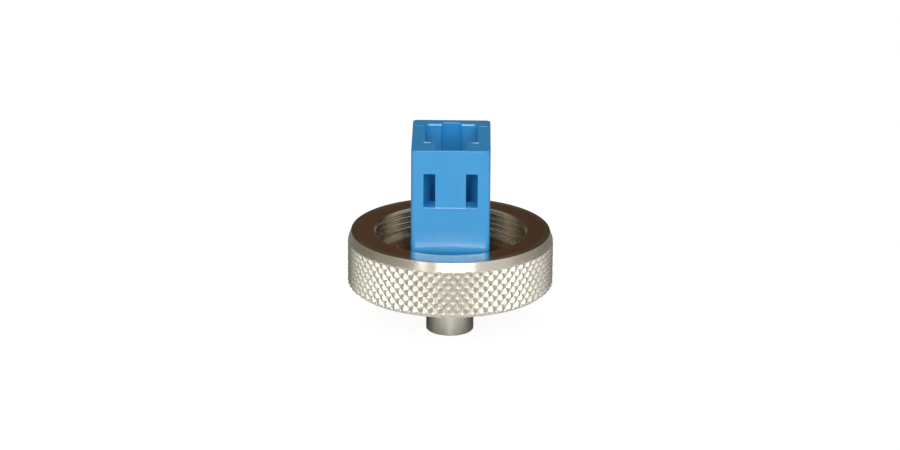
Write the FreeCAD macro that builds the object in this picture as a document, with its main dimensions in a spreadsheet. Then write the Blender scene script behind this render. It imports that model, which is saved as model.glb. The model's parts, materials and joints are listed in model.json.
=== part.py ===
# Fibre tester adapter: an LC plug receptacle on a captive knurled nut, in millimetres.
# The origin is the centre of the guide tube's lower end. +Z runs up the optical axis, and the
# receptacle's latch side faces -Y.
import FreeCAD, Part
import Sketcher
import math
import os

SIZES = [
    # Ferrule guide
    ("spigot_radius", 2.15, "guide tube, outside"),
    ("spigot_length", 5.65, "tube end to flange"),
    ("spigot_chamfer", 0.2, "lead-in round the tube end"),
    ("bore_radius", 0.78, "way through for a 1.25 mm ferrule"),
    ("bore_countersink", 0.25, "lead-in of the bore at the tube end"),
    ("flange_radius", 6.4, "flange that holds the nut"),
    ("flange_thickness", 0.6, "flange"),
    ("neck_radius", 3.4, "journal that the nut turns on"),
    ("anchor_radius", 2.6, "barbed anchor in the receptacle's base"),
    ("anchor_length", 1.6, "barbed anchor"),
    ("barb_depth", 0.15, "taper of each barb"),
    ("housing_radius", 1.45, "sleeve housing that stands in the port"),
    ("housing_chamfer", 0.12, "lead-in round the housing's top"),
    # Split sleeve, its cap and the key
    ("sleeve_radius", 0.83, "split sleeve, outside"),
    ("sleeve_bore", 0.625, "split sleeve, inside"),
    ("sleeve_length", 6.8, "split sleeve"),
    ("sleeve_slit", 0.25, "width of its slit"),
    ("sleeve_clearance", 0.05, "round the sleeve in its housing"),
    ("sleeve_float", 0.1, "end play under the cap"),
    ("ferrule_drop", 2.0, "port floor down to the ferrules' contact"),
    ("cap_radius", 1.15, "sleeve cap, outside"),
    ("cap_thickness", 0.4, "sleeve cap"),
    ("cap_hole", 0.78, "way through the cap"),
    ("cap_countersink", 0.15, "lead-in of the cap's hole"),
    ("key_radius", 0.5, "key pin"),
    ("key_reach", 4.4, "optical axis to key pin"),
    ("key_projection", 1.0, "key pin below the flange"),
    ("key_chamfer", 0.12, "lower end of the key pin"),
    # Coupling nut
    ("nut_radius", 9.28, "crests of the knurl"),
    ("upper_depth", 2.58, "web to top face"),
    ("lower_depth", 1.97, "web to lower face"),
    ("web_thickness", 0.6, "web that the flange holds"),
    ("thread_minor", 6.73, "crests of the M14 x 0.5 thread"),
    ("thread_major", 7.0, "roots of the thread and its relief"),
    ("thread_relief", 0.55, "length of the relief beside the web"),
    ("mouth_chamfer", 0.34, "lead-in of both mouths"),
    ("cone_height", 0.94, "plain cone above the knurl"),
    ("cone_inset", 0.32, "plain cone, across"),
    ("base_chamfer_height", 0.32, "chamfer below the knurl"),
    ("base_chamfer_inset", 0.46, "chamfer below the knurl, across"),
    ("knurl_count", 65, "grooves of each hand"),
    ("knurl_pitch", 0.98, "diamonds, along the axis"),
    ("knurl_depth", 0.28, "crest to groove"),
    ("knurl_backing", 0.1, "solid metal under the grooves"),
    ("runout_step", 0.02, "step from the knurl's ends to the turned cones"),
    # Receptacle
    ("plug_width", 4.65, "port, across"),
    ("plug_span", 4.9, "port, front to back"),
    ("plug_depth", 9.2, "port floor to rim"),
    ("port_corner", 0.3, "rounding of the port's corners"),
    ("side_wall", 1.175, "wall beside the port"),
    ("back_wall", 0.82, "wall behind the keyway"),
    ("front_wall", 0.41, "wall before the latch slot"),
    ("base_skin", 0.8, "plastic between anchor and port"),
    ("corner_radius", 0.42, "upright edges of the housing"),
    ("rim_round", 0.14, "edges of the rim"),
    ("keyway_width", 1.78, "keyway in the back wall"),
    ("keyway_reach", 3.24, "optical axis to keyway's back"),
    ("latch_width", 2.7, "slot that the latch slides down"),
    ("latch_reach", 4.75, "optical axis to latch slot's front"),
    ("lever_reach", 3.5, "optical axis to the slot's front, below the windows"),
    ("catch_width", 3.66, "pocket that the latch springs into"),
    ("window_drop", 2.13, "rim to windows"),
    ("window_height", 3.02, "latch windows"),
    ("window_inner", 1.3, "middle plane to a window's near side"),
    ("window_outer", 2.42, "middle plane to a window's far side"),
    ("window_recess", 1.64, "depth of the windows"),
    # Fits
    ("hub_clearance", 0.08, "nut's web round the neck"),
    ("thrust_clearance", 0.05, "nut's web above and below"),
    ("press_clearance", 0.01, "pressed and bonded seats"),
]

doc = FreeCAD.newDocument("fibre_tester_adapter")
sheet = doc.addObject("Spreadsheet::Sheet", "Sizes")
for row, (alias, value, note) in enumerate(SIZES, start=1):
    sheet.set(f"A{row}", note)
    sheet.set(f"B{row}", str(value))
    sheet.setAlias(f"B{row}", alias)
doc.recompute()

# Levels on the optical axis, each worked out from the pieces stacked below it.
FLANGE_BOTTOM = "Sizes.spigot_length"
FLANGE_TOP = f"({FLANGE_BOTTOM} + Sizes.flange_thickness)"
WEB_BOTTOM = f"({FLANGE_TOP} + Sizes.thrust_clearance)"
WEB_TOP = f"({WEB_BOTTOM} + Sizes.web_thickness)"
FOOT = f"({WEB_TOP} + Sizes.thrust_clearance)"
NUT_BOTTOM = f"({WEB_BOTTOM} - Sizes.lower_depth)"
NUT_TOP = f"({WEB_TOP} + Sizes.upper_depth)"
KNURL_BOTTOM = f"({NUT_BOTTOM} + Sizes.base_chamfer_height)"
KNURL_TOP = f"({NUT_TOP} - Sizes.cone_height)"
ANCHOR_TOP = f"({FOOT} + Sizes.anchor_length)"
PORT_FLOOR = f"({ANCHOR_TOP} + Sizes.base_skin)"
RIM = f"({PORT_FLOOR} + Sizes.plug_depth)"
SLEEVE_BOTTOM = f"({PORT_FLOOR} - Sizes.ferrule_drop - Sizes.sleeve_length / 2)"
CAP_SEAT = f"({SLEEVE_BOTTOM} + Sizes.sleeve_length + Sizes.sleeve_float)"
HOUSING_TOP = f"({CAP_SEAT} + Sizes.cap_thickness)"
WINDOW_TOP = f"({RIM} - Sizes.window_drop)"
WINDOW_BOTTOM = f"({WINDOW_TOP} - Sizes.window_height)"

# Reaches across the axis that several features share.
CORE_RADIUS = "(Sizes.nut_radius - Sizes.knurl_depth - Sizes.knurl_backing)"
RUNOUT_RADIUS = "(Sizes.nut_radius - Sizes.runout_step)"
FRONT_FACE = "(Sizes.latch_reach + Sizes.front_wall)"
BACK_FACE = "(Sizes.keyway_reach + Sizes.back_wall)"
HALF_WIDTH = "(Sizes.plug_width / 2 + Sizes.side_wall)"
CAP_POCKET = "(Sizes.cap_radius + Sizes.press_clearance)"


def size(expression):
    """Value of a size expression, in millimetres."""
    return float(sheet.evalExpression(expression))


def new_body(label):
    """Empty body of one sub-part."""
    body = doc.addObject("PartDesign::Body", label)
    body.Label = label
    return body


def sketch_on(body, name, role, offset=None):
    """Sketch on one of the body's own planes, moved along the plane's normal by an expression."""
    sketch = body.newObject("Sketcher::SketchObject", name)
    plane = next(feature for feature in body.Origin.OriginFeatures if feature.Role == role)
    sketch.AttachmentSupport = [(plane, "")]
    sketch.MapMode = "FlatFace"
    if offset is not None:
        sketch.setExpression("AttachmentOffset.Base.z", offset)
    return sketch


def bind(sketch, kind, element, expression):
    """Hold a line's start at a distance from the sketch's axes, or a circle to its radius."""
    value = size(expression)
    if kind == "Radius":
        index = sketch.addConstraint(Sketcher.Constraint(kind, element, value))
    else:
        index = sketch.addConstraint(Sketcher.Constraint(kind, -1, 1, element, 1, value))
    sketch.setExpression(f"Constraints[{index}]", expression)


def draw_outline(sketch, points):
    """Closed outline of straight lines through points given as pairs of size expressions."""
    places = [FreeCAD.Vector(size(across), size(along), 0) for across, along in points]
    first = sketch.GeometryCount
    for here, there in zip(places, places[1:] + places[:1]):
        sketch.addGeometry(Part.LineSegment(here, there), False)
    for index, (across, along) in enumerate(points):
        before = first + (index - 1) % len(points)
        sketch.addConstraint(Sketcher.Constraint("Coincident", before, 2, first + index, 1))
        bind(sketch, "DistanceX", first + index, across)
        bind(sketch, "DistanceY", first + index, along)
    return sketch


def draw_rectangle(sketch, left, right, low, high):
    """Rectangle between four size expressions."""
    return draw_outline(sketch, [(left, low), (right, low), (right, high), (left, high)])


def draw_circle(sketch, radius):
    """Circle about the optical axis."""
    circle = Part.Circle(FreeCAD.Vector(), FreeCAD.Vector(0, 0, 1), size(radius))
    element = sketch.addGeometry(circle, False)
    sketch.addConstraint(Sketcher.Constraint("Coincident", element, 3, -1, 1))
    bind(sketch, "Radius", element, radius)
    return sketch


def turn(body, name, points):
    """Solid of revolution about the optical axis, from an outline of radius and height pairs."""
    sketch = draw_outline(sketch_on(body, f"{name}_profile", "XZ_Plane"), points)
    feature = body.newObject("PartDesign::Revolution", name)
    feature.Profile = sketch
    feature.ReferenceAxis = (sketch, ["V_Axis"])
    feature.Angle = 360
    doc.recompute()
    return feature


def extrude(body, kind, name, sketch, length, reverse=False):
    """Pad or pocket of a sketch, whose length is a size expression."""
    before = body.Shape.Volume if body.Tip else 0
    feature = body.newObject(f"PartDesign::{kind}", name)
    feature.Profile = sketch
    feature.setExpression("Length", length)
    feature.Reversed = reverse
    doc.recompute()
    if abs(body.Shape.Volume - before) < 1e-6:
        raise RuntimeError(f"{name} changes nothing")
    return feature


def dress(body, kind, name, measure, expression, wanted):
    """Fillet or chamfer on the edges of the body's tip that the wanted test picks."""
    base = body.Tip
    names = [f"Edge{i}" for i, edge in enumerate(base.Shape.Edges, start=1) if wanted(edge)]
    if not names:
        raise RuntimeError(f"{name} finds no edge")
    feature = body.newObject(f"PartDesign::{kind}", name)
    feature.Base = (base, names)
    feature.setExpression(measure, expression)
    doc.recompute()
    return feature


def upright_at(edge, places):
    """True for an upright straight edge that stands at one of the places."""
    box = edge.BoundBox
    upright = box.XLength < 1e-6 and box.YLength < 1e-6
    return upright and any(math.hypot(box.XMin - x, box.YMin - y) < 1e-4 for x, y in places)


def build_ferrule_guide():
    """Turned guide: tube, flange, neck, barbed anchor and sleeve housing in one piece."""
    body = new_body("ferrule_guide")
    barb_root = "(Sizes.anchor_radius - Sizes.barb_depth)"
    barb_level = f"({FOOT} + Sizes.anchor_length / 2)"
    sleeve_pocket = "(Sizes.sleeve_radius + Sizes.sleeve_clearance)"
    turn(body, "guide_turning", [
        ("Sizes.bore_radius + Sizes.bore_countersink", "0"),
        ("Sizes.spigot_radius - Sizes.spigot_chamfer", "0"),
        ("Sizes.spigot_radius", "Sizes.spigot_chamfer"),
        ("Sizes.spigot_radius", FLANGE_BOTTOM),
        ("Sizes.flange_radius", FLANGE_BOTTOM),
        ("Sizes.flange_radius", FLANGE_TOP),
        ("Sizes.neck_radius", FLANGE_TOP),
        ("Sizes.neck_radius", FOOT),
        ("Sizes.anchor_radius", FOOT),
        (barb_root, barb_level),
        ("Sizes.anchor_radius", barb_level),
        (barb_root, ANCHOR_TOP),
        ("Sizes.housing_radius", ANCHOR_TOP),
        ("Sizes.housing_radius", f"{HOUSING_TOP} - Sizes.housing_chamfer"),
        ("Sizes.housing_radius - Sizes.housing_chamfer", HOUSING_TOP),
        (CAP_POCKET, HOUSING_TOP),
        (CAP_POCKET, CAP_SEAT),
        (sleeve_pocket, CAP_SEAT),
        (sleeve_pocket, SLEEVE_BOTTOM),
        ("Sizes.bore_radius", SLEEVE_BOTTOM),
        ("Sizes.bore_radius", "Sizes.bore_countersink"),
    ])
    hole = sketch_on(body, "key_hole_outline", "XY_Plane", FLANGE_BOTTOM)
    place = FreeCAD.Vector(0, size("Sizes.key_reach"), 0)
    radius = "Sizes.key_radius + Sizes.press_clearance"
    circle = hole.addGeometry(Part.Circle(place, FreeCAD.Vector(0, 0, 1), size(radius)), False)
    bind(hole, "Radius", circle, radius)
    hole.addConstraint(Sketcher.Constraint("PointOnObject", circle, 3, -2))
    reach = hole.addConstraint(Sketcher.Constraint("DistanceY", -1, 1, circle, 3, place.y))
    hole.setExpression(f"Constraints[{reach}]", "Sizes.key_reach")
    extrude(body, "Pocket", "key_hole", hole, "Sizes.flange_thickness", reverse=True)
    return body


def build_split_sleeve():
    """Slit ceramic tube that lines up the two ferrules."""
    body = new_body("split_sleeve")
    sleeve_top = f"({SLEEVE_BOTTOM} + Sizes.sleeve_length)"
    turn(body, "sleeve_tube", [
        ("Sizes.sleeve_bore", SLEEVE_BOTTOM),
        ("Sizes.sleeve_radius", SLEEVE_BOTTOM),
        ("Sizes.sleeve_radius", sleeve_top),
        ("Sizes.sleeve_bore", sleeve_top),
    ])
    slit = sketch_on(body, "slit_outline", "XY_Plane", SLEEVE_BOTTOM)
    draw_rectangle(slit, "-Sizes.sleeve_slit / 2", "Sizes.sleeve_slit / 2", "0", "Sizes.sleeve_radius * 2")
    extrude(body, "Pocket", "sleeve_slit", slit, "Sizes.sleeve_length", reverse=True)
    return body


def build_sleeve_cap():
    """Ring that closes the sleeve housing round the ferrule's way in."""
    body = new_body("sleeve_cap")
    turn(body, "cap_turning", [
        ("Sizes.cap_hole", CAP_SEAT),
        ("Sizes.cap_radius", CAP_SEAT),
        ("Sizes.cap_radius", HOUSING_TOP),
        ("Sizes.cap_hole + Sizes.cap_countersink", HOUSING_TOP),
        ("Sizes.cap_hole", f"{HOUSING_TOP} - Sizes.cap_countersink"),
    ])
    return body


def build_key_pin():
    """Dowel pressed through the flange, behind the tube."""
    body = new_body("key_pin")
    tip = f"({FLANGE_BOTTOM} - Sizes.key_projection)"
    turn(body, "key_turning", [
        ("0", tip),
        ("Sizes.key_radius - Sizes.key_chamfer", tip),
        ("Sizes.key_radius", f"{tip} + Sizes.key_chamfer"),
        ("Sizes.key_radius", FLANGE_TOP),
        ("0", FLANGE_TOP),
    ])
    body.setExpression("Placement.Base.y", "Sizes.key_reach")
    return body


def knurl_band():
    """Ring of diamond pyramids between the nut's core and its crests.

    Grooves of both hands cross at every other corner of a grid of half pitches. Those corners lie
    at the groove's depth and the ones between them at the crests. The first and last rows stay at
    the crests, where the grooves run out.
    """
    columns = 2 * int(size("Sizes.knurl_count"))
    crest = size("Sizes.nut_radius")
    depth = size("Sizes.knurl_depth")
    low = size(KNURL_BOTTOM)
    high = size(KNURL_TOP)
    rows = max(2, round(2 * (high - low) / size("Sizes.knurl_pitch")))

    def is_groove(column, row):
        return 0 < row < rows and (column + row) % 2 == 0

    def corner(column, row):
        radius = crest - depth if is_groove(column, row) else crest
        angle = 2 * math.pi * (column % columns) / columns
        height = low + (high - low) * row / rows
        return FreeCAD.Vector(radius * math.cos(angle), radius * math.sin(angle), height)

    def triangle(*corners):
        return Part.Face(Part.makePolygon([*corners, corners[0]]))

    faces = []
    for row in range(rows):
        for column in range(columns):
            near_low = corner(column, row)
            far_low = corner(column + 1, row)
            near_high = corner(column, row + 1)
            far_high = corner(column + 1, row + 1)
            if is_groove(column, row) or is_groove(column + 1, row + 1):
                faces.append(triangle(near_low, far_low, far_high))
                faces.append(triangle(near_low, far_high, near_high))
            else:
                faces.append(triangle(near_low, far_low, near_high))
                faces.append(triangle(far_low, far_high, near_high))

    for row in (0, rows):
        faces.append(Part.Face(Part.makePolygon([corner(column, row) for column in range(columns + 1)])))
    shell = Part.makeShell(faces)
    shell.sewShape()
    core = Part.makeCylinder(size(CORE_RADIUS), high - low, FreeCAD.Vector(0, 0, low))
    return Part.Solid(shell).cut(core).Solids[0]


def build_coupling_nut():
    """Captive nut: a turned ring with two threaded mouths, and a diamond knurl round it."""
    core = new_body("nut_turning")
    hub = "(Sizes.neck_radius + Sizes.hub_clearance)"
    mouth = "(Sizes.thread_minor + Sizes.mouth_chamfer)"
    turn(core, "nut_profile", [
        (mouth, NUT_BOTTOM),
        ("Sizes.thread_minor", f"{NUT_BOTTOM} + Sizes.mouth_chamfer"),
        ("Sizes.thread_minor", f"{WEB_BOTTOM} - Sizes.thread_relief"),
        ("Sizes.thread_major", f"{WEB_BOTTOM} - Sizes.thread_relief"),
        ("Sizes.thread_major", WEB_BOTTOM),
        (hub, WEB_BOTTOM),
        (hub, WEB_TOP),
        ("Sizes.thread_major", WEB_TOP),
        ("Sizes.thread_major", f"{WEB_TOP} + Sizes.thread_relief"),
        ("Sizes.thread_minor", f"{WEB_TOP} + Sizes.thread_relief"),
        ("Sizes.thread_minor", f"{NUT_TOP} - Sizes.mouth_chamfer"),
        (mouth, NUT_TOP),
        ("Sizes.nut_radius - Sizes.cone_inset", NUT_TOP),
        (RUNOUT_RADIUS, KNURL_TOP),
        (CORE_RADIUS, KNURL_TOP),
        (CORE_RADIUS, KNURL_BOTTOM),
        (RUNOUT_RADIUS, KNURL_BOTTOM),
        ("Sizes.nut_radius - Sizes.base_chamfer_inset", NUT_BOTTOM),
    ])
    knurl = doc.addObject("Part::Feature", "knurl")
    knurl.Shape = knurl_band()
    nut = doc.addObject("Part::Fuse", "coupling_nut")
    nut.Base = core
    nut.Tool = knurl
    nut.Refine = False
    nut.Label = "coupling_nut"
    doc.recompute()
    return nut


def build_lc_receptacle():
    """Moulded housing: the plug port with its keyway and latch slot, and the latch windows."""
    body = new_body("lc_receptacle")
    half = HALF_WIDTH
    block = draw_rectangle(sketch_on(body, "block_outline", "XY_Plane", FOOT),
                           f"-{half}", half, f"-{FRONT_FACE}", BACK_FACE)
    extrude(body, "Pad", "block", block, f"{RIM} - {FOOT}")

    corners = [(sign * size(half), y) for sign in (-1, 1) for y in (-size(FRONT_FACE), size(BACK_FACE))]
    dress(body, "Fillet", "block_corners", "Radius", "Sizes.corner_radius",
          lambda edge: upright_at(edge, corners))

    def cut_down(name, top, left, right, low, high, depth):
        sketch = draw_rectangle(sketch_on(body, f"{name}_outline", "XY_Plane", top), left, right, low, high)
        extrude(body, "Pocket", name, sketch, depth)

    port_side = "Sizes.plug_width / 2"
    port_end = "Sizes.plug_span / 2"
    latch_side = "Sizes.latch_width / 2"
    cut_down("plug_port", RIM, f"-{port_side}", port_side, f"-{port_end}", port_end, "Sizes.plug_depth")
    port_corners = [(sign_x * size(port_side), sign_y * size(port_end))
                    for sign_x in (-1, 1) for sign_y in (-1, 1)]
    dress(body, "Fillet", "port_corners", "Radius", "Sizes.port_corner",
          lambda edge: upright_at(edge, port_corners))
    cut_down("keyway", RIM, "-Sizes.keyway_width / 2", "Sizes.keyway_width / 2", "0", "Sizes.keyway_reach",
             "Sizes.plug_depth")
    cut_down("latch_slot", RIM, f"-{latch_side}", latch_side, "-Sizes.latch_reach", "0",
             f"{RIM} - {WINDOW_BOTTOM}")
    cut_down("lever_slot", WINDOW_BOTTOM, f"-{latch_side}", latch_side, "-Sizes.lever_reach", "0",
             f"{WINDOW_BOTTOM} - {PORT_FLOOR}")
    cut_down("catch_pocket", WINDOW_TOP, "-Sizes.catch_width / 2", "Sizes.catch_width / 2",
             "-Sizes.latch_reach", "0", "Sizes.window_height")

    windows = sketch_on(body, "window_outlines", "XZ_Plane", FRONT_FACE)
    draw_rectangle(windows, "Sizes.window_inner", "Sizes.window_outer", WINDOW_BOTTOM, WINDOW_TOP)
    draw_rectangle(windows, "-Sizes.window_outer", "-Sizes.window_inner", WINDOW_BOTTOM, WINDOW_TOP)
    extrude(body, "Pocket", "latch_windows", windows, "Sizes.window_recess")

    socket = sketch_on(body, "anchor_socket_outline", "XY_Plane", FOOT)
    draw_circle(socket, "Sizes.anchor_radius + Sizes.press_clearance")
    extrude(body, "Pocket", "anchor_socket", socket, "Sizes.anchor_length", reverse=True)
    passage = sketch_on(body, "housing_passage_outline", "XY_Plane", ANCHOR_TOP)
    draw_circle(passage, "Sizes.housing_radius + Sizes.press_clearance")
    extrude(body, "Pocket", "housing_passage", passage, "Sizes.base_skin", reverse=True)

    rim = size(RIM)
    dress(body, "Fillet", "rim_edges", "Radius", "Sizes.rim_round",
          lambda edge: edge.BoundBox.ZMin > rim - 1e-6)
    return body


def check(parts):
    """Stop if any feature failed or any sub-part is not one sound solid."""
    for item in doc.Objects:
        if "Invalid" in item.State or "Error" in item.State:
            raise RuntimeError(f"{item.Label} did not build: {item.State}")
    for part in parts:
        shape = part.Shape
        if shape.isNull() or not shape.isValid() or len(shape.Solids) != 1:
            raise RuntimeError(f"{part.Label} is not one sound solid")


adapter = [
    build_ferrule_guide(),
    build_split_sleeve(),
    build_sleeve_cap(),
    build_key_pin(),
    build_coupling_nut(),
    build_lc_receptacle(),
]
doc.recompute()
check(adapter)
os.makedirs("parts", exist_ok=True)
for part in adapter:
    part.Shape.exportStep(f"parts/{part.Label}.step")
    print(f"{part.Label}: {part.Shape.Volume:.3f} mm3, {len(part.Shape.Faces)} faces")
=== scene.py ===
"""Fibre tester adapter: a blue plug receptacle on a captive knurled nut, standing on its guide tube.

The sections follow the assembly: the guide with its key pin, the alignment sleeve and its cap, the
nut, and the receptacle that closes the stack. The stage, the lights and the camera come last.
"""

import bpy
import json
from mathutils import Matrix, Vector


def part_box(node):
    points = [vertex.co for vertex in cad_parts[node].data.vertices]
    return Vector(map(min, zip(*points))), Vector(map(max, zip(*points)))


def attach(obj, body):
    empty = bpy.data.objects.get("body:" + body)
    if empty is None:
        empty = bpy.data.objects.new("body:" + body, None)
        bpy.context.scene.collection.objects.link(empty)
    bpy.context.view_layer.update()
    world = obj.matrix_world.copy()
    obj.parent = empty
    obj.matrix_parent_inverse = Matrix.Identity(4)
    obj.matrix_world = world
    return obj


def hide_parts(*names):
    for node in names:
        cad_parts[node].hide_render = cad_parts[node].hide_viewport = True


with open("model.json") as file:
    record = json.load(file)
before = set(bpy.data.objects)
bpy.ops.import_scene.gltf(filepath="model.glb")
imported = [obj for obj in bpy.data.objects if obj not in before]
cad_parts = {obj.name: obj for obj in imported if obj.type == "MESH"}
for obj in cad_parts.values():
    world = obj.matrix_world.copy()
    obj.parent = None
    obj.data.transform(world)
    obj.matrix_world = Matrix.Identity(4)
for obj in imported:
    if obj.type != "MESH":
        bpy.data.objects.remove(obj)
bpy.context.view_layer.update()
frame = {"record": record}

# Ferrule guide. One piece of stainless steel bar, turned: the tube that enters the tester's port, the
# flange and neck that hold the nut, the barbed anchor in the receptacle's base, and the sleeve housing.
import bpy
import numpy as np

MM = 0.001
guide_low, guide_high = np.array(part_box("ferrule_guide")) / MM
housing_low, housing_high = np.array(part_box("lc_receptacle")) / MM
sleeve_low, sleeve_high = np.array(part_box("split_sleeve")) / MM
cap_low, cap_high = np.array(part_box("sleeve_cap")) / MM
key_low, key_high = np.array(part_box("key_pin")) / MM
mounts = {mount["name"]: mount for mount in frame["record"]["mounts"]}

tube_radius = mounts["guide_tube"]["dims"]["r_mm"]
tube_chamfer = 0.07
flange_radius = guide_high[0]
flange_bottom = mounts["flange_seat"]["pos_m"][2] / MM
flange_top = key_high[2]
neck_radius = 3.4
foot = housing_low[2]
anchor_radius = 2.6
anchor_height = 1.6
anchor_top = foot + anchor_height
barb_level = (foot + anchor_top) / 2
barb_depth = 0.15
sleeve_housing_radius = 1.45
bore_radius = 0.78
bore_countersink = 0.25
sleeve_play = 0.05
sleeve_pocket_radius = sleeve_high[0] + sleeve_play
press_fit = 0.01
cap_pocket_radius = cap_high[0] + press_fit
guide_edge = 0.03
guide_columns = 128


def soften(corners, radius, steps=4, margin=0.03, share=0.3):
    """Closed outline with its corners turned to arcs.

    At a corner that turns by the angle a, the arc starts radius * tan(a / 2) before the corner and
    swings through a about a centre beside the side that it leaves. One point more on each side of the
    arc keeps the flats flat when they are shaded. It lies a margin away, or a share of what a short
    side has left.
    """
    corners = np.asarray(corners, float)
    side = np.roll(corners, -1, axis=0) - corners
    length = np.linalg.norm(side, axis=1, keepdims=True)
    leave = side / length
    arrive = np.roll(leave, 1, axis=0)
    cross = arrive[:, 0] * leave[:, 1] - arrive[:, 1] * leave[:, 0]
    turn = np.arctan2(cross, (arrive * leave).sum(axis=1))[:, None]
    reach = radius * np.tan(np.abs(turn) / 2)
    spare = np.minimum(margin, share * (length - reach - np.roll(reach, -1, axis=0)))
    start = corners - arrive * reach
    towards = np.sign(turn) * np.stack([-arrive[:, 1], arrive[:, 0]], axis=1)
    centre = start + towards * radius
    swing = turn[:, :, None] * np.linspace(0, 1, steps + 1)[None, :, None]
    arm = (start - centre)[:, None, :]
    across = np.stack([-arm[..., 1], arm[..., 0]], axis=-1)
    arc = centre[:, None, :] + arm * np.cos(swing) + across * np.sin(swing)
    before = start - arrive * np.roll(spare, 1, axis=0)
    after = corners + leave * (reach + spare)
    return np.concatenate([before[:, None], arc, after[:, None]], axis=1).reshape(-1, 2)


def swung(outline, columns):
    """Grid of a turned surface: each point (r, z) of the outline swung round the axis by the angle a,
    to (r cos a, r sin a, z)."""
    angle = np.linspace(0, 2 * np.pi, columns, endpoint=False)
    radius = outline[:, :1]
    height = np.broadcast_to(outline[:, 1:], (len(outline), columns))
    return np.stack([radius * np.cos(angle), radius * np.sin(angle), height], axis=-1)


def piece(name, grid, faces, smooth, body, node):
    """Mesh object of a grid in millimetres that stands for one node and rides on its body. Its faces are
    smooth or flat, all alike or one by one."""
    mesh = bpy.data.meshes.new(name)
    mesh.from_pydata(grid.reshape(-1, 3) * MM, [], faces)
    mesh.polygons.foreach_set("use_smooth", np.broadcast_to(smooth, len(mesh.polygons)).copy())
    mesh.update()
    shape = bpy.data.objects.new(name, mesh)
    bpy.context.scene.collection.objects.link(shape)
    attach(shape, body)
    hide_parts(node)
    return shape


def ring_faces(rows, columns):
    """Quads of a grid that closes on itself both ways, wound so that they face out of the metal."""
    row, column = np.meshgrid(np.arange(rows), np.arange(columns), indexing="ij")
    after_row = (row + 1) % rows
    after_column = (column + 1) % columns
    quad = [row * columns + column, row * columns + after_column,
            after_row * columns + after_column, after_row * columns + column]
    return np.stack(quad, axis=-1).reshape(-1, 4).tolist()


guide_grid = swung(soften([
    (bore_radius + bore_countersink, guide_low[2]),
    (tube_radius - tube_chamfer, guide_low[2]),
    (tube_radius, guide_low[2] + tube_chamfer),
    (tube_radius, flange_bottom),
    (flange_radius, flange_bottom),
    (flange_radius, flange_top),
    (neck_radius, flange_top),
    (neck_radius, foot),
    (anchor_radius, foot),
    (anchor_radius - barb_depth, barb_level),
    (anchor_radius, barb_level),
    (anchor_radius - barb_depth, anchor_top),
    (sleeve_housing_radius, anchor_top),
    (sleeve_housing_radius, guide_high[2]),
    (cap_pocket_radius, guide_high[2]),
    (cap_pocket_radius, cap_low[2]),
    (sleeve_pocket_radius, cap_low[2]),
    (sleeve_pocket_radius, sleeve_low[2]),
    (bore_radius, sleeve_low[2]),
    (bore_radius, guide_low[2] + bore_countersink),
], guide_edge), guide_columns)
guide = piece("ferrule_guide_turned", guide_grid, ring_faces(*guide_grid.shape[:2]),
              True, "adapter", "ferrule_guide")


def linear(code):
    """Linear colour of an sRGB hex code: v / 12.92 up to 0.04045, ((v + 0.055) / 1.055) ** 2.4 above it."""
    value = np.array([int(code[i:i + 2], 16) for i in (1, 3, 5)]) / 255
    value = np.where(value <= 0.04045, value / 12.92, ((value + 0.055) / 1.055) ** 2.4)
    return (*value.tolist(), 1.0)


def add(tree, kind, inputs=None, **settings):
    """Add a node, set its properties, and set or link its inputs. A linked input is given as a socket."""
    made = tree.nodes.new(kind)
    for key, value in settings.items():
        setattr(made, key, value)
    for key, value in (inputs or {}).items():
        if isinstance(value, bpy.types.NodeSocket):
            tree.links.new(value, made.inputs[key])
        else:
            made.inputs[key].default_value = value
    return made


def new_material(name):
    """Empty node material, with its tree and its output node."""
    material = bpy.data.materials.new(name)
    material.use_nodes = True
    material.node_tree.nodes.clear()
    return material, material.node_tree, add(material.node_tree, "ShaderNodeOutputMaterial")


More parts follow.
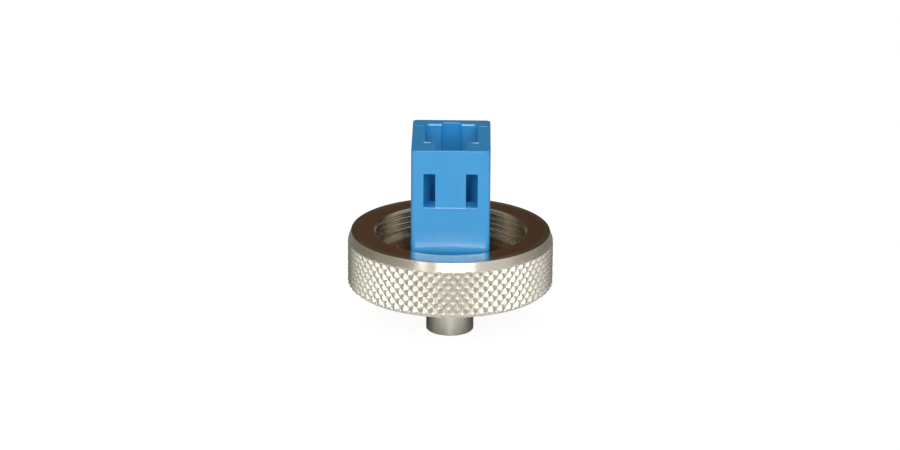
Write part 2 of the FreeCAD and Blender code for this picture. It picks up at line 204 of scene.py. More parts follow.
def turned_metal(name, light, dark, sheen, spread, ring_width, ring_depth, cloud_width=2.5):
    """Metal with the rings that a turning tool leaves round the axis.

    They scatter light across themselves, so that a highlight is drawn out along the axis and stays
    narrow round it. The rings are noise along the distance from the axis plus the height, ring_width
    apart and ring_depth deep. Clouds of cloud_width vary the colour and, over the two values of the
    sheen, the roughness. The widths and the depth are in millimetres.
    """
    material, tree, output = new_material(name)
    place = add(tree, "ShaderNodeTexCoord").outputs["Object"]
    flat = add(tree, "ShaderNodeVectorMath", {0: place, 1: (1, 1, 0)}, operation="MULTIPLY")
    reach = add(tree, "ShaderNodeVectorMath", {0: flat.outputs["Vector"]}, operation="LENGTH")
    level = add(tree, "ShaderNodeSeparateXYZ", {0: place})
    path = add(tree, "ShaderNodeMath", {0: reach.outputs["Value"], 1: level.outputs["Z"]}, operation="ADD")
    count = add(tree, "ShaderNodeMath", {
        0: path.outputs["Value"], 1: 1 / (ring_width * MM),
    }, operation="MULTIPLY")
    rings = add(tree, "ShaderNodeTexNoise", {
        "W": count.outputs["Value"], "Scale": 1.0, "Detail": 3.0,
    }, noise_dimensions="1D").outputs["Fac"]
    cloud = add(tree, "ShaderNodeTexNoise", {
        "Vector": place, "Scale": 1 / (cloud_width * MM), "Detail": 2.0,
    }).outputs["Fac"]
    relief = add(tree, "ShaderNodeBump", {
        "Height": rings, "Strength": 1.0, "Distance": ring_depth * MM,
    }).outputs["Normal"]
    roughness = add(tree, "ShaderNodeMapRange", {
        "Value": cloud, "From Min": 0.3, "From Max": 0.7, "To Min": sheen[0], "To Max": sheen[1],
    }).outputs["Result"]
    both = add(tree, "ShaderNodeMath", {0: rings, 1: cloud}, operation="ADD").outputs["Value"]
    shade = add(tree, "ShaderNodeMapRange", {
        "Value": both, "From Min": 0.6, "From Max": 1.4,
    }).outputs["Result"]
    tint = add(tree, "ShaderNodeMix", {
        "Factor": shade, "A": linear(light), "B": linear(dark),
    }, data_type="RGBA").outputs["Result"]
    around = add(tree, "ShaderNodeTangent", direction_type="RADIAL", axis="Z").outputs["Tangent"]
    shader = add(tree, "ShaderNodeBsdfPrincipled", {
        "Base Color": tint, "Metallic": 1.0, "Roughness": roughness, "Normal": relief,
        "Anisotropic": spread, "Anisotropic Rotation": 0.25, "Tangent": around,
    })
    tree.links.new(shader.outputs["BSDF"], output.inputs["Surface"])
    return material


# Turned stainless steel: a cool grey with one bright streak down the tube. The tool's rings are about
# 0.02 mm apart on the real piece, and are drawn four times as coarse here so that they show.
steel = turned_metal("stainless_steel_turned", "#d8d6d0", "#cfccc6",
                     sheen=(0.34, 0.42), spread=0.5, ring_width=0.08, ring_depth=0.0012)
guide.data.materials.append(steel)

# Key pin. A steel dowel, turned and pressed through the flange behind the tube, with its lower end
# chamfered. It finds the slot in the tester's port.
key_radius = (key_high[0] - key_low[0]) / 2
key_place = (key_low + key_high) / 2
key_chamfer = 0.12
key_columns = 48


def capped_faces(rows, columns):
    """Quads between the rows of a grid that closes round, and one face over its first and its last row."""
    faces = ring_faces(rows, columns)[:(rows - 1) * columns]
    first = list(range(columns))
    return faces + [first[::-1], [(rows - 1) * columns + i for i in first]]


key_grid = swung(np.array([
    (key_radius - key_chamfer, key_low[2]),
    (key_radius, key_low[2] + key_chamfer),
    (key_radius, key_high[2]),
]), key_columns) + (key_place[0], key_place[1], 0)
key = piece("key_pin_dowel", key_grid, capped_faces(*key_grid.shape[:2]),
            False, "adapter", "key_pin")
key.data.materials.append(steel)

# Split sleeve. A slit tube of ground zirconia, free in its housing, that grips both ferrules and lines
# them up. Its slit faces the latch side.
sleeve_radius = sleeve_high[0]
sleeve_bore = mounts["ferrule_sleeve"]["dims"]["r_mm"]
sleeve_slit = 0.25
slit_angle = np.arcsin(sleeve_slit / 2 / np.array([sleeve_radius, sleeve_bore]))
slit_side = -np.pi / 2
sleeve_chamfer = 0.04
sleeve_steps = 72


def arc_points(radius, start, end):
    """Arc about the axis: radius * (cos a, sin a), with the angle a going evenly from start to end."""
    angle = np.linspace(start, end, sleeve_steps + 1)
    return radius * np.stack([np.cos(angle), np.sin(angle)], axis=1)


def pillar(outline, stations):
    """Grid of an outline carried up the axis: at each station (move, z) the outline stands at the height
    z, moved outwards by move along the line that halves the corner at each of its points."""
    along = np.roll(outline, -1, axis=0) - outline
    along = along / np.linalg.norm(along, axis=1, keepdims=True)
    both = along + np.roll(along, 1, axis=0)
    outward = np.stack([both[:, 1], -both[:, 0]], axis=1)
    outward = outward / (0.5 * np.sum(both * both, axis=1, keepdims=True))
    stations = np.asarray(stations, float)
    flat = outline[None] + stations[:, :1, None] * outward[None]
    height = np.broadcast_to(stations[:, 1:, None], (*flat.shape[:2], 1))
    return np.concatenate([flat, height], axis=2)


sleeve_grid = pillar(np.concatenate([
    arc_points(sleeve_radius, slit_side + slit_angle[0], slit_side + 2 * np.pi - slit_angle[0]),
    arc_points(sleeve_bore, slit_side + 2 * np.pi - slit_angle[1], slit_side + slit_angle[1]),
]), [
    (-sleeve_chamfer, sleeve_low[2]), (0, sleeve_low[2] + sleeve_chamfer),
    (0, sleeve_high[2] - sleeve_chamfer), (-sleeve_chamfer, sleeve_high[2]),
])
sleeve = piece("split_sleeve_ground", sleeve_grid, capped_faces(*sleeve_grid.shape[:2]),
               False, "adapter", "split_sleeve")

# Ground zirconia: a dense white ceramic, a little warm, with a soft polish from grinding.
speckle_width = 0.15
zirconia, tree, output = new_material("zirconia_ground")
place = add(tree, "ShaderNodeTexCoord").outputs["Object"]
speckle = add(tree, "ShaderNodeTexNoise", {
    "Vector": place, "Scale": 1 / (speckle_width * MM), "Detail": 3.0,
}).outputs["Fac"]
polish = add(tree, "ShaderNodeMapRange", {
    "Value": speckle, "To Min": 0.2, "To Max": 0.34,
}).outputs["Result"]
shader = add(tree, "ShaderNodeBsdfPrincipled", {
    "Base Color": linear("#f0ede4"), "Roughness": polish, "IOR": 2.1,
})
tree.links.new(shader.outputs["BSDF"], output.inputs["Surface"])
sleeve.data.materials.append(zirconia)

# Sleeve cap. A turned steel ring, pressed into the top of the housing over the sleeve, with a countersunk
# hole that leads the plug's ferrule in.
cap_radius = cap_high[0]
cap_hole = 0.78
cap_countersink = 0.15
cap_edge = 0.02
cap_columns = 96
cap_grid = swung(soften([
    (cap_hole, cap_low[2]),
    (cap_radius, cap_low[2]),
    (cap_radius, cap_high[2]),
    (cap_hole + cap_countersink, cap_high[2]),
    (cap_hole, cap_high[2] - cap_countersink),
], cap_edge), cap_columns)
cap = piece("sleeve_cap_turned", cap_grid, ring_faces(*cap_grid.shape[:2]),
            True, "adapter", "sleeve_cap")
cap.data.materials.append(steel)

# Coupling nut. A brass ring, turned with a threaded mouth above and below its web, rolled with a diamond
# knurl and bright nickel plated. The web turns on the guide's neck, between the flange and the receptacle.
nut_low, nut_high = np.array(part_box("coupling_nut")) / MM
nut_radius = nut_high[0]
nut_bottom = nut_low[2]
nut_top = nut_high[2]
web_play = 0.05
web_bottom = flange_top + web_play
web_top = foot - web_play
hub_play = 0.08
hub_radius = neck_radius + hub_play
thread_crest = 6.73
thread_root = 7.0
thread_pitch = 0.5
thread_flat = 0.15
thread_relief = 0.55
thread_fade = 0.1
mouth_chamfer = 0.17
cone_height = 0.94
cone_inset = 0.32
base_height = 0.32
base_inset = 0.46
knurl_count = 64
knurl_pitch = 0.98
knurl_depth = 0.24
knurl_phase = 0.125
knurl_level = 6.75
crest_flat = 0.12
crest_round = 0.65
runout_low = 8.48
runout_high = 8.82
groove_shows = 0.008
nut_edge = 0.04
nut_edge_steps = 3
steps_per_pitch = 8
cone_row_pitch = 0.065
level_row_pitch = 0.5
nut_columns = steps_per_pitch * knurl_count

nut_corners = soften([
    (nut_radius - base_inset, nut_bottom),
    (nut_radius, nut_bottom + base_height),
    (nut_radius, nut_top - cone_height),
    (nut_radius - cone_inset, nut_top),
    (thread_crest + mouth_chamfer, nut_top),
    (thread_crest, nut_top - mouth_chamfer),
    (thread_crest, web_top + thread_relief),
    (thread_root, web_top + thread_relief),
    (thread_root, web_top),
    (hub_radius, web_top),
    (hub_radius, web_bottom),
    (thread_root, web_bottom),
    (thread_root, web_bottom - thread_relief),
    (thread_crest, web_bottom - thread_relief),
    (thread_crest, nut_bottom + mouth_chamfer),
    (thread_crest + mouth_chamfer, nut_bottom),
], nut_edge, nut_edge_steps).reshape(-1, nut_edge_steps + 3, 2)


def between(first, last, pitch):
    """Points on the straight line between two corners' rows, about a pitch apart, without the two ends."""
    count = int(np.ceil(np.linalg.norm(last - first) / pitch))
    share = np.arange(1, count)[:, None] / count
    return first + (last - first) * share


def zigzag(phase):
    """Triangle wave of period 1: 0 at whole numbers, 1 halfway between them."""
    return 1 - np.abs(2 * (phase - np.floor(phase)) - 1)


def smooth_step(low, high, value):
    """0 below low, 1 above high, and s * s * (3 - 2 s) on the way up."""
    share = np.clip((value - low) / (high - low), 0, 1)
    return share * share * (3 - 2 * share)


knurl_reach = int(np.ceil((nut_top - nut_bottom) / knurl_pitch)) * steps_per_pitch
knurl_rows = knurl_level + knurl_pitch / steps_per_pitch * np.arange(-knurl_reach, knurl_reach)
knurl_rows = knurl_rows[(knurl_rows > nut_corners[1, -1, 1]) & (knurl_rows < nut_corners[2, 0, 1])]
knurl_rows = np.stack([np.full(len(knurl_rows), nut_radius), knurl_rows], axis=1)
cone_rows = between(nut_corners[2, -1], nut_corners[3, 0], cone_row_pitch)
top_rows = between(nut_corners[3, -1], nut_corners[4, 0], level_row_pitch)
upper_thread = between(nut_corners[5, -1], nut_corners[6, 0], thread_pitch / steps_per_pitch)
web_rows = between(nut_corners[8, -1], nut_corners[9, 0], level_row_pitch)
lower_thread = between(nut_corners[13, -1], nut_corners[14, 0], thread_pitch / steps_per_pitch)
POLISHED, TURNED, KNURLED, THREADED, RECESSED = range(5)
nut_blocks = [
    (nut_corners[:2], TURNED), (knurl_rows, KNURLED), (nut_corners[2], KNURLED), (cone_rows, TURNED),
    (nut_corners[3], TURNED), (top_rows, POLISHED), (nut_corners[4:6], TURNED), (upper_thread, THREADED),
    (nut_corners[6:9], TURNED), (web_rows, RECESSED), (nut_corners[9:14], TURNED), (lower_thread, THREADED),
    (nut_corners[14:], TURNED),
]
nut_outline = np.concatenate([rows.reshape(-1, 2) for rows, finish in nut_blocks])
nut_finish = np.concatenate([np.full(rows.size // 2, finish) for rows, finish in nut_blocks])


def nut_surface(outline, columns):
    """Radius of the nut at each row (r, z) and each angle.

    Outside, grooves of both hands run at whole numbers of u + w and u - w, where u counts the pitches
    round the nut and w the pitches up it. The lower of the two zigzags, cut off near its peak and
    rounded towards a sine, is the diamond's height. The cone and the lower chamfer cut across the
    grooves, which fade out on the cone. Inside, the thread's groove is a zigzag of z / pitch less the
    turns, with its peaks and valleys cut off flat, and it fades out at both ends of each mouth.
    """
    turns = np.arange(columns)[None] / columns
    base = outline[:, :1]
    level = outline[:, 1:]
    around = knurl_count * turns + knurl_phase
    up = (level - knurl_level) / knurl_pitch
    diamond = np.minimum(zigzag(around + up), zigzag(around - up)) / (1 - crest_flat)
    diamond = np.minimum(diamond, 1)
    diamond = diamond + crest_round * (np.sin(np.pi / 2 * diamond) - diamond)
    groove = knurl_depth * (1 - diamond) * (1 - smooth_step(runout_low, runout_high, level))
    outside = np.minimum(base, nut_radius - groove)
    cut = np.clip((1 + 2 * thread_flat) * zigzag(level / thread_pitch - turns) - thread_flat, 0, 1)
    threaded = np.zeros_like(level)
    for low, high in [(nut_bottom + mouth_chamfer, web_bottom - thread_relief),
                      (web_top + thread_relief, nut_top - mouth_chamfer)]:
        fade_in = smooth_step(low, low + thread_fade, level)
        fade_out = smooth_step(high - thread_fade, high, level)
        threaded = np.maximum(threaded, fade_in * (1 - fade_out))
    inside = base + (thread_root - thread_crest) * cut * threaded
    radius = np.where(base > (thread_root + nut_radius) / 2, outside, base)
    return np.where(np.isclose(base, thread_crest), inside, radius)


nut_reach = nut_surface(nut_outline, nut_columns)
nut_angle = 2 * np.pi * np.arange(nut_columns)[None] / nut_columns
nut_height = np.broadcast_to(nut_outline[:, 1:], nut_reach.shape)
nut_grid = np.stack([nut_reach * np.cos(nut_angle), nut_reach * np.sin(nut_angle), nut_height], axis=-1)

# Each quad is split along its lower diagonal, which keeps the floors of the grooves sharp. A turned face
# that a groove reaches counts as knurled.
a, b, c, d = np.array(ring_faces(*nut_grid.shape[:2])).T
reach = nut_reach.ravel()
along_ac = (reach[a] + reach[c] <= reach[b] + reach[d])[:, None]
first_half = np.where(along_ac, np.stack([a, b, c], axis=1), np.stack([a, b, d], axis=1))
second_half = np.where(along_ac, np.stack([a, c, d], axis=1), np.stack([b, c, d], axis=1))
sunk = (np.abs(nut_outline[:, :1] - nut_reach) > groove_shows).ravel()
grooved = sunk[a] | sunk[b] | sunk[c] | sunk[d]
quad_finish = np.repeat(nut_finish, nut_columns)
quad_finish = np.where((quad_finish == TURNED) & grooved, KNURLED, quad_finish)
face_finish = np.concatenate([quad_finish, quad_finish])
nut = piece("coupling_nut_knurled", nut_grid, np.concatenate([first_half, second_half]).tolist(),
            face_finish != KNURLED, "nut", "coupling_nut")
nut.data.polygons.foreach_set("material_index", face_finish)

# Bright nickel on turned brass: a warm grey mirror. The level faces are polished and mirror the room; their
# plate is painted paler than the rest, a painted brightening of that reflection. The cones keep the tool's
# rings, and the rolled diamonds and the thread are a little duller. The floor deep in the mouth is painted
# browner and darker, a painted shade. The rings are drawn coarser than the real feed of 0.03 mm so that
# they show.
for finish in [
    # Partly painted: the polish is real, but the paler plate of the level faces is a painted brightening of
    # what they mirror.
    turned_metal("nickel_plate_polished_painted_bright", "#f4f0ea", "#e2dcd2",
                 sheen=(0.1, 0.15), spread=0.4, ring_width=0.3, ring_depth=0.0006),
    turned_metal("nickel_plate_turned", "#d8d4cb", "#d0cbc1",
                 sheen=(0.24, 0.3), spread=0.5, ring_width=0.08, ring_depth=0.001),
    turned_metal("nickel_plate_knurled", "#d6d4cd", "#ceccc4",
                 sheen=(0.3, 0.36), spread=0.0, ring_width=0.2, ring_depth=0.0003),
    turned_metal("nickel_plate_threaded", "#d0c9bd", "#c6beb0",
                 sheen=(0.18, 0.26), spread=0.3, ring_width=0.2, ring_depth=0.0005),
    # Painted shade: the floor deep in the mouth, browner and darker than the rest of the plate.
    turned_metal("nickel_plate_painted_shade", "#c6a083", "#b28c70",
                 sheen=(0.16, 0.22), spread=0.4, ring_width=0.3, ring_depth=0.0006),
]:
    nut.data.materials.append(finish)

# Receptacle. One moulding of blue PBT: a square tower with the plug's port, a keyway behind it, the
# latch's slot in front, and two windows where the latch catches. It is pressed over the guide's barbed
# anchor.
rim = housing_high[2]
rim_round = 0.06
front_face = housing_low[1]
block_corner = 0.42
block_steps = 8
base_wall = 0.8
port_floor = anchor_top + base_wall
port_side = 2.325
port_end = 2.45
port_back = 2.7
port_corner = 0.3
port_lead_in = 0.13
keyway_side = 0.89
keyway_end = 3.24
keyway_lead_in = 0.04
slot_corner = 0.18
latch_side = 1.35
latch_end = 4.75
lever_end = 3.5
catch_side = 1.83
catch_corner = 0.05
window_drop = 2.16
window_height = 3.07
window_top = rim - window_drop
window_bottom = window_top - window_height
window_inner = 1.36
window_outer = 2.38
window_depth = 2.05
window_slope = 1.73
window_round = 0.06
port_mark_inner = 1.83
port_mark_outer = 2.44
port_mark_back = -2.58
port_mark_depth = 0.12
rim_mark_inner = 2.5
rim_mark_outer = 3.3
rim_mark_back = 2.2
rim_mark_depth = 0.04
line_gap = 0.01
line_fade = 0.42
line_corner = 0.04
line_root = 0.2
line_height = 0.06
line_crest = 0.04
line_crest_corner = 0.015
flare_low = 9.2
flare_top = 10.9
flare_rows = 20
flare_from = 4.0
flare_slope_per_mm = np.radians(6.0)
overshoot = 0.6
core_columns = 96
fine_steps = 2
sharp_angle = np.radians(35)

quarter_steps = 5
quarter = np.linspace(0, np.pi / 2, quarter_steps + 1)[1:]


def block_outline(left, right, low, high, radius, steps=5):
    """Rectangle with round corners, counter-clockwise seen from above."""
    return soften([(left, low), (right, low), (right, high), (left, high)], radius, steps)


def mould(name, grid):
    """Closed mesh object of a grid in millimetres, for adding to or taking from the moulding."""
    mesh = bpy.data.meshes.new(name)
    mesh.from_pydata(grid.reshape(-1, 3) * MM, [], capped_faces(*grid.shape[:2]))
    shape = bpy.data.objects.new(name, mesh)
    bpy.context.scene.collection.objects.link(shape)
    return shape


def towards_front(grid):
    """The same grid laid on its side: its x stays, its height becomes the way to the front, and its y
    becomes the height. That is a turn about the x axis, so its faces keep pointing out."""
    return np.stack([grid[..., 0], -grid[..., 2], grid[..., 1]], axis=-1)


def mouth(outline, low, flare):
    """A core from the height low up through the rim, where its front and back walls flare out at 45
    degrees. Its side walls stay upright, because every row keeps the x of the first."""
    core = pillar(outline, [(0, low), (0, rim - flare), (flare, rim), (flare, rim + overshoot)])
    core[..., 0] = core[0, :, 0]
    return core


def window(left, right):
    """A core of one latch window, from its floor out through the front face, with its mouth rounded off.
    The floor comes forwards window_slope times as much as it goes outwards from the catch's side, so it
    stands at about 60 degrees to the front."""
    mouth_round = np.stack([window_round * (1 - np.cos(quarter)),
                            -front_face - window_round * (1 - np.sin(quarter))], axis=1)
    core = towards_front(pillar(
        block_outline(left, right, window_bottom, window_top, catch_corner, fine_steps),
        [(0, -front_face - window_depth), (0, -front_face - window_round), *mouth_round,
         (window_round, -front_face + overshoot)],
    ))
    core[0, :, 1] -= window_slope * (np.abs(core[0, :, 0]) - catch_side)
    return core


def notch(left, right, back, depth):
    """A core of a V-shaped mark across the rim: its two walls stand at 45 degrees and meet at the depth
    below the rim, and the far one starts at the given back."""
    near = back - 2 * depth
    grid = pillar(np.array([
        (near, rim), (back - depth, rim - depth), (back, rim),
        (back, rim + overshoot), (near, rim + overshoot),
    ]), [(0, left), (0, right)])
    return np.stack([grid[..., 2], grid[..., 0], grid[..., 1]], axis=-1)


def plug_outline(side, reach):
    """Port and latch slot as one outline, with the slot as wide and as far to the front as given."""
    corners = [
        (side, -reach), (side, -port_end), (port_side, -port_end), (port_side, port_back),
        (-port_side, port_back), (-port_side, -port_end), (-side, -port_end), (-side, -reach),
    ]
    radii = [slot_corner] * 2 + [port_corner] * 4 + [slot_corner] * 2
    return soften(corners, np.array(radii)[:, None])


def round_core(radius, low, high):
    """A round core between two heights, wider than the guide in it by the clearance of the press fit."""
    return swung(np.array([(radius + press_fit, low), (radius + press_fit, high)]), core_columns)


# The tower's front flares at the foot: it comes forwards by half the slope's gain times the drop squared.
crown = np.stack([-rim_round * (1 - np.cos(quarter)), rim - rim_round * (1 - np.sin(quarter))], axis=1)
tower = pillar(
    block_outline(housing_low[0], housing_high[0], front_face, housing_high[1], block_corner, block_steps),
    [(0, foot), *[(0, level) for level in np.linspace(flare_low, flare_top, flare_rows)],
     (0, rim - rim_round), *crown],
)
drop = np.clip(flare_top - tower[..., 2], 0, flare_top - flare_low)
in_front = np.clip(-tower[..., 1] - flare_from, 0, 1)
tower[..., 1] -= flare_slope_per_mm / 2 * drop ** 2 * in_front
receptacle = piece("lc_receptacle_moulded", tower, capped_faces(*tower.shape[:2]),
                   False, "adapter", "lc_receptacle")

# A mould line stands proud under the windows: steep above, and fading into the face below.
line_top = window_bottom - line_gap
crest_top = line_top - line_height
line_base = block_outline(-window_outer, window_outer, window_bottom - line_fade, line_top,
                          line_corner, fine_steps)
line_edge = block_outline(-window_outer, window_outer, crest_top - line_crest, crest_top,
                          line_crest_corner, fine_steps)
mould_line = mould("mould_line", towards_front(np.concatenate([
    pillar(line_base, [(0, -front_face - line_root), (0, -front_face)]),
    pillar(line_edge, [(0, -front_face + line_height)]),
])))
keyway_outline = block_outline(-keyway_side, keyway_side, 0, keyway_end, slot_corner)
catch_outline = block_outline(-catch_side, catch_side, -latch_end, 0, catch_corner, fine_steps)
cores = [
    mould("latch_core", mouth(plug_outline(latch_side, latch_end), window_bottom, port_lead_in)),
    mould("keyway_core", mouth(keyway_outline, port_floor, keyway_lead_in)),
    mould("plug_core", pillar(plug_outline(catch_side, lever_end),
                              [(0, port_floor), (0, window_bottom + overshoot)])),
    mould("catch_core", pillar(catch_outline, [(0, window_bottom), (0, window_top)])),
    mould("port_mark_left", notch(-port_mark_outer, -port_mark_inner, port_mark_back, port_mark_depth)),
    mould("port_mark_right", notch(port_mark_inner, port_mark_outer, port_mark_back, port_mark_depth)),
    mould("rim_mark_left", notch(-rim_mark_outer, -rim_mark_inner, rim_mark_back, rim_mark_depth)),
    mould("rim_mark_right", notch(rim_mark_inner, rim_mark_outer, rim_mark_back, rim_mark_depth)),
    mould("window_core_left", window(-window_outer, -window_inner)),
    mould("window_core_right", window(window_inner, window_outer)),
    mould("anchor_core", round_core(anchor_radius, foot - overshoot, anchor_top)),
    mould("housing_core", round_core(sleeve_housing_radius, anchor_top - overshoot,
                                     port_floor + overshoot)),
]
for core, operation in [(mould_line, "UNION"), *[(core, "DIFFERENCE") for core in cores]]:
    carve = receptacle.modifiers.new(core.name, "BOOLEAN")
    carve.operation = operation
    carve.solver = "EXACT"
    carve.object = core
carved = bpy.data.meshes.new_from_object(receptacle.evaluated_get(bpy.context.evaluated_depsgraph_get()))
receptacle.modifiers.clear()
receptacle.data = carved
for core in [mould_line, *cores]:
    bpy.data.objects.remove(core)
carved.polygons.foreach_set("use_smooth", np.ones(len(carved.polygons), bool))
carved.set_sharp_from_angle(angle=sharp_angle)
flat_faces = receptacle.modifiers.new("flat_faces", "WEIGHTED_NORMAL")
flat_faces.mode = "FACE_AREA"
flat_faces.weight = 100
flat_faces.keep_sharp = True

# Moulded PBT: an opaque, slightly milky blue. The mould's spark-eroded steel leaves a fine grain, so the
# highlights are soft, and its colour wanders a little where the melt flowed.
grain_width = 0.12
grain_depth = 0.006
flow_width = 2.4
pbt, tree, output = new_material("pbt_blue_moulded")
place = add(tree, "ShaderNodeTexCoord").outputs["Object"]
grain = add(tree, "ShaderNodeTexNoise", {
    "Vector": place, "Scale": 1 / (grain_width * MM), "Detail": 4.0,
}).outputs["Fac"]
flow = add(tree, "ShaderNodeTexNoise", {
    "Vector": place, "Scale": 1 / (flow_width * MM), "Detail": 3.0,
}).outputs["Fac"]
tint = add(tree, "ShaderNodeMix", {
    "Factor": flow, "A": linear("#2f91d2"), "B": linear("#3395d4"),
}, data_type="RGBA").outputs["Result"]
gloss = add(tree, "ShaderNodeMapRange", {
    "Value": grain, "To Min": 0.17, "To Max": 0.2,
}).outputs["Result"]
relief = add(tree, "ShaderNodeBump", {
    "Height": grain, "Strength": 0.04, "Distance": grain_depth * MM,
}).outputs["Normal"]
shader = add(tree, "ShaderNodeBsdfPrincipled", {
    "Base Color": tint, "Roughness": gloss, "IOR": 1.57, "Normal": relief,
})
tree.links.new(shader.outputs["BSDF"], output.inputs["Surface"])
receptacle.data.materials.append(pbt)

# Stage. A plain white table under the part. It shows white to the camera and still takes the part's soft
# shadow. In the metal's reflections its colour is painted: a painted pool of light in front of the part,
# and painted shade under and behind it that deepens the part's own shadow there.
table_size = 3000.0
table_mesh = bpy.data.meshes.new("table")
table_corners = np.array([(-1, -1, 0), (1, -1, 0), (1, 1, 0), (-1, 1, 0)]) * table_size / 2
table_mesh.from_pydata(table_corners * MM, [], [(0, 1, 2, 3)])
table = bpy.data.objects.new("table", table_mesh)
bpy.context.scene.collection.objects.link(table)
paint, tree, output = new_material("white_table")
rays = add(tree, "ShaderNodeLightPath").outputs
mirrored = add(tree, "ShaderNodeMath", {
    0: rays["Is Glossy Ray"], 1: rays["Is Transmission Ray"],
}, operation="MAXIMUM").outputs["Value"]
matt = add(tree, "ShaderNodeBsdfDiffuse", {"Color": linear("#e4e4e2")}).outputs["BSDF"]
place = add(tree, "ShaderNodeTexCoord").outputs["Object"]
depth = add(tree, "ShaderNodeSeparateXYZ", {0: place}).outputs["Y"]
# Painted light and shade, for reflections only: a painted pool of light ahead of the part, painted shade
# under and behind it, a little paler again far behind.
ahead = add(tree, "ShaderNodeMapRange", {
    "Value": depth, "From Min": 2.5 * MM, "From Max": -7.5 * MM, "To Min": 0.22, "To Max": 1.22,
}, interpolation_type="SMOOTHSTEP").outputs["Result"]
beyond = add(tree, "ShaderNodeMapRange", {
    "Value": depth, "From Min": 5 * MM, "From Max": 13 * MM, "To Min": 0.0, "To Max": 0.12,
}, interpolation_type="SMOOTHSTEP").outputs["Result"]
painted_pool_and_shade = add(tree, "ShaderNodeMath", {0: ahead, 1: beyond}, operation="ADD").outputs["Value"]
reflected = add(tree, "ShaderNodeBsdfDiffuse", {"Color": painted_pool_and_shade}).outputs["BSDF"]
shadow = add(tree, "ShaderNodeBsdfDiffuse", {"Color": (0.14, 0.14, 0.14, 1)}).outputs["BSDF"]
glow = add(tree, "ShaderNodeEmission", {"Color": (1, 1, 1, 1), "Strength": 0.93}).outputs["Emission"]
seen = add(tree, "ShaderNodeAddShader", {0: shadow, 1: glow}).outputs["Shader"]
surface = add(tree, "ShaderNodeMixShader", {"Fac": mirrored, 1: matt, 2: reflected}).outputs["Shader"]
surface = add(tree, "ShaderNodeMixShader", {
    "Fac": rays["Is Camera Ray"], 1: surface, 2: seen,
}).outputs["Shader"]
tree.links.new(surface, output.inputs["Surface"])
table_mesh.materials.append(paint)

# Light. A wide low lamp in front with softer panels above it and at its left, a small lamp overhead, and
# one behind for the rim and the back. The room is a pale arch in front and above, grey at the sides, and
# dark brown wood behind, which is what the nut's level faces mirror.
import mathutils

lamp_aim = np.array([0.0, 0.0, 9.0])


def direction_of(azimuth, elevation):
    """Unit vector from the part: azimuth in degrees from the front towards the right, elevation in degrees
    from the table."""
    a, e = np.radians([azimuth, elevation])
    return np.array([np.sin(a) * np.cos(e), -np.cos(a) * np.cos(e), np.sin(e)])


def lamp(name, azimuth, elevation, distance, half_width, half_height, radiance):
    """Rectangular lamp that faces the part, with its half sizes in degrees as the part sees it. Its power
    is the radiance times pi times its area."""
    away = direction_of(azimuth, elevation)
    light = bpy.data.lights.new(name, "AREA")
    light.shape = "RECTANGLE"
    light.size = 2 * distance * MM * np.tan(np.radians(half_width))
    light.size_y = 2 * distance * MM * np.tan(np.radians(half_height))
    light.energy = radiance * np.pi * light.size * light.size_y
    holder = bpy.data.objects.new(name, light)
    turn = mathutils.Vector(away).to_track_quat("Z", "Y").to_matrix().to_4x4()
    holder.matrix_world = mathutils.Matrix.Translation((lamp_aim + away * distance) * MM) @ turn
    bpy.context.scene.collection.objects.link(holder)


lamp("front_lamp", azimuth=2, elevation=8.5, distance=450, half_width=9, half_height=4, radiance=8.5)
lamp("front_panel", azimuth=7, elevation=20, distance=500, half_width=18, half_height=6, radiance=3.9)
lamp("side_panel", azimuth=-31, elevation=19, distance=500, half_width=5, half_height=6, radiance=2.6)
lamp("high_panel", azimuth=0, elevation=33, distance=500, half_width=10, half_height=5, radiance=5.5)
lamp("overhead_lamp", azimuth=0, elevation=71, distance=500, half_width=6, half_height=4, radiance=8.5)
lamp("rear_lamp", azimuth=180, elevation=65, distance=500, half_width=6, half_height=6, radiance=7.2)

arch_tilt = (-0.06, 0, 1)
world = bpy.data.worlds.new("room")
bpy.context.scene.world = world
world.use_nodes = True
tree = world.node_tree
tree.nodes.clear()
output = add(tree, "ShaderNodeOutputWorld")
toward = add(tree, "ShaderNodeTexCoord").outputs["Generated"]
axes = add(tree, "ShaderNodeSeparateXYZ", {0: toward}).outputs
wall = add(tree, "ShaderNodeVectorMath", {0: toward, 1: direction_of(51, 15)}, operation="DOT_PRODUCT")
tilted = add(tree, "ShaderNodeVectorMath", {0: toward, 1: arch_tilt}, operation="DOT_PRODUCT")
masks = {}
for name, value, low, high in [
    ("right", axes["X"], -0.3, 0.3),
    ("behind", axes["Y"], 0.3, 0.6),
    ("high", axes["Z"], 0.06, 0.18),
    ("wall", wall.outputs["Value"], 0.85, 0.97),
    ("ceiling", axes["Z"], 0.72, 0.85),
    ("over", tilted.outputs["Value"], 0.455, 0.495),
    ("under", axes["Z"], 0.78, 0.66),
    ("ahead", axes["Y"], 0.0, -0.5),
]:
    masks[name] = add(tree, "ShaderNodeMapRange", {"Value": value, "From Min": low, "From Max": high},
                      interpolation_type="SMOOTHSTEP").outputs["Result"]
band = add(tree, "ShaderNodeMath", {0: masks["over"], 1: masks["under"]}, operation="MULTIPLY")
arch = add(tree, "ShaderNodeMath", {0: band.outputs["Value"], 1: masks["ahead"]}, operation="MULTIPLY")
behind = add(tree, "ShaderNodeMath", {0: masks["behind"], 1: masks["high"]}, operation="MULTIPLY")
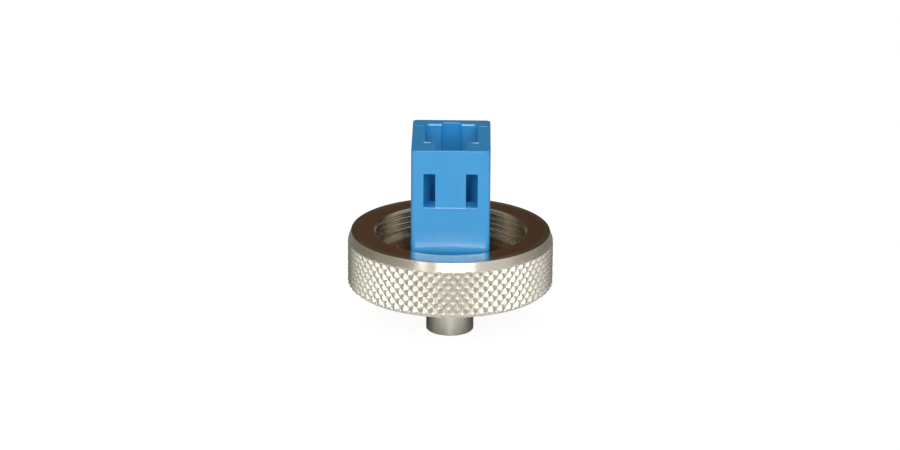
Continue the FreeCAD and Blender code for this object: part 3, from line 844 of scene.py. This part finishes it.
wood = add(tree, "ShaderNodeMix", {
    "Factor": masks["right"], "A": (0.092, 0.058, 0.036, 1), "B": (0.048, 0.02, 0.01, 1),
}, data_type="RGBA").outputs["Result"]
room = add(tree, "ShaderNodeMix", {
    "Factor": masks["right"], "A": (0.3, 0.285, 0.215, 1), "B": (0.46, 0.435, 0.385, 1),
}, data_type="RGBA").outputs["Result"]
for mask, colour in [
    (behind.outputs["Value"], wood),
    (masks["wall"], (0.78, 0.75, 0.7, 1)),
    (masks["ceiling"], (0.25, 0.24, 0.22, 1)),
    (arch.outputs["Value"], (2.1, 2.07, 1.98, 1)),
]:
    room = add(tree, "ShaderNodeMix", {
        "Factor": mask, "A": room, "B": colour,
    }, data_type="RGBA").outputs["Result"]
shade = add(tree, "ShaderNodeBackground", {"Color": room, "Strength": 1.0}).outputs["Background"]
tree.links.new(shade, output.inputs["Surface"])

# Camera. A short telephoto lens a little above the part, worked out from the photograph's outlines.
azimuth, elevation, roll = np.radians([0.362, 19.237, 0.489])
distance = 279.37
aim_right = -0.057
aim_height = 9.899
lens = 123.95
right = np.array([np.cos(azimuth), np.sin(azimuth), 0.0])
level_ahead = np.array([-np.sin(azimuth), np.cos(azimuth), 0.0])
forward = np.cos(elevation) * level_ahead - np.array([0.0, 0.0, np.sin(elevation)])
up = np.cross(right, forward)
camera_place = np.array([0, 0, aim_height]) - forward * distance + right * aim_right
level_right = np.cos(roll) * right + np.sin(roll) * up
level_up = np.cos(roll) * up - np.sin(roll) * right
camera_data = bpy.data.cameras.new("camera")
camera_data.lens = lens
camera_data.sensor_width = 36.0
camera = bpy.data.objects.new("camera", camera_data)
pose = np.eye(4)
pose[:3] = np.stack([level_right, level_up, -forward, camera_place * MM], axis=1)
camera.matrix_world = mathutils.Matrix(pose.tolist())
bpy.context.scene.collection.objects.link(camera)
bpy.context.scene.camera = camera
bpy.context.scene.view_settings.view_transform = "Standard"

# Finish. The view layer is brought up to date.
import json

bpy.context.view_layer.update()
